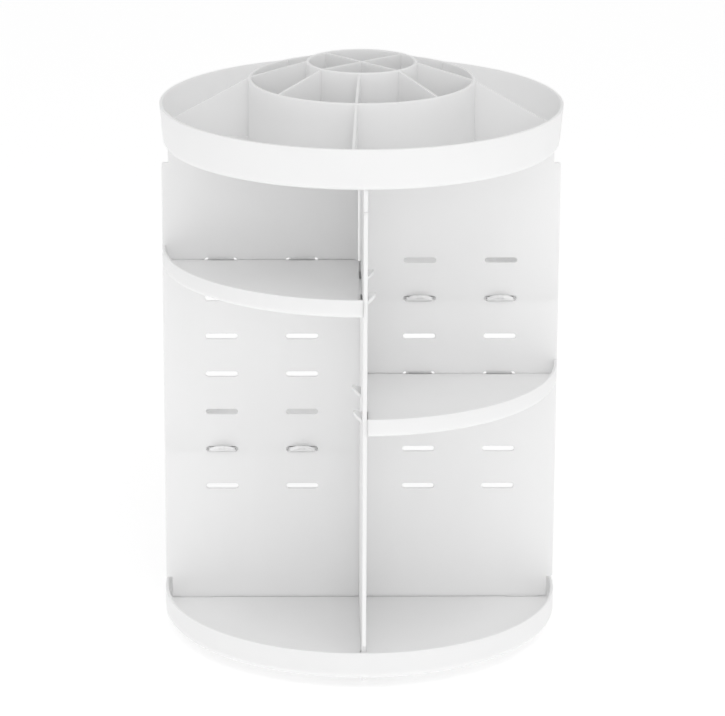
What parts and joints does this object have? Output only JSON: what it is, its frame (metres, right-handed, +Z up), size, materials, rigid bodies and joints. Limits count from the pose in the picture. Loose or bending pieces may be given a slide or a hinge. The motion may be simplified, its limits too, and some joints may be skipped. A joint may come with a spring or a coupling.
{
  "type": "rotating tool storage caddy",
  "caption": "White plastic rotating storage caddy: a round turntable base, crossed slotted panels with hook-in quarter-round shelves, and a stepped, divided round top tray.",
  "frame": {"origin": "where the turning axis meets the table, under the rubber pads", "axes": "+Z up along the turning axis; -Y to the front, where the edge of the deep panel points; +X to the right"},
  "size_m": [0.225, 0.225, 0.3308],
  "materials": {
    "white_plastic": "satin white moulded plastic",
    "natural_plastic": "unpigmented moulded plastic",
    "steel_ball": "polished bearing steel",
    "zinc_steel": "bright zinc plated steel",
    "rubber_pad": "dark grey foam rubber"
  },
  "bodies": {
    "foot": {"foot_plate": "white_plastic", "rubber_pad_1": "rubber_pad", "rubber_pad_2": "rubber_pad", "rubber_pad_3": "rubber_pad", "rubber_pad_4": "rubber_pad"},
    "bearing": {"ball_cage": "natural_plastic", "bearing_ball_01": "steel_ball", "bearing_ball_02": "steel_ball", "bearing_ball_03": "steel_ball", "bearing_ball_04": "steel_ball", "bearing_ball_05": "steel_ball", "bearing_ball_06": "steel_ball", "bearing_ball_07": "steel_ball", "bearing_ball_08": "steel_ball", "bearing_ball_09": "steel_ball", "bearing_ball_10": "steel_ball", "bearing_ball_11": "steel_ball", "bearing_ball_12": "steel_ball"},
    "turntable": {"base_tray": "white_plastic", "pivot_screw": "zinc_steel", "pivot_washer": "zinc_steel", "wide_panel": "white_plastic", "deep_panel": "white_plastic", "shelf_tray_front_left": "white_plastic", "shelf_tray_front_right": "white_plastic", "shelf_tray_back_left": "white_plastic", "shelf_tray_back_right": "white_plastic"},
    "top": {"top_tray": "white_plastic"}
  },
  "joints": [
    {"name": "turntable_spin", "type": "hinge", "parent": "foot", "child": "turntable", "pos_m": [0, 0, 0.01], "axis": [0, 0, 1], "continuous": true},
    {"name": "cage_spin", "type": "hinge", "parent": "foot", "child": "bearing", "pos_m": [0, 0, 0.00505], "axis": [0, 0, 1], "continuous": true},
    {"name": "top_tray_lift", "type": "slide", "parent": "turntable", "child": "top", "axis": [0, 0, 1], "range_m": [0, 0.06]}
  ],
  "couplings": [
    {"joint": "cage_spin", "follows": "turntable_spin", "ratio": 0.5}
  ]
}
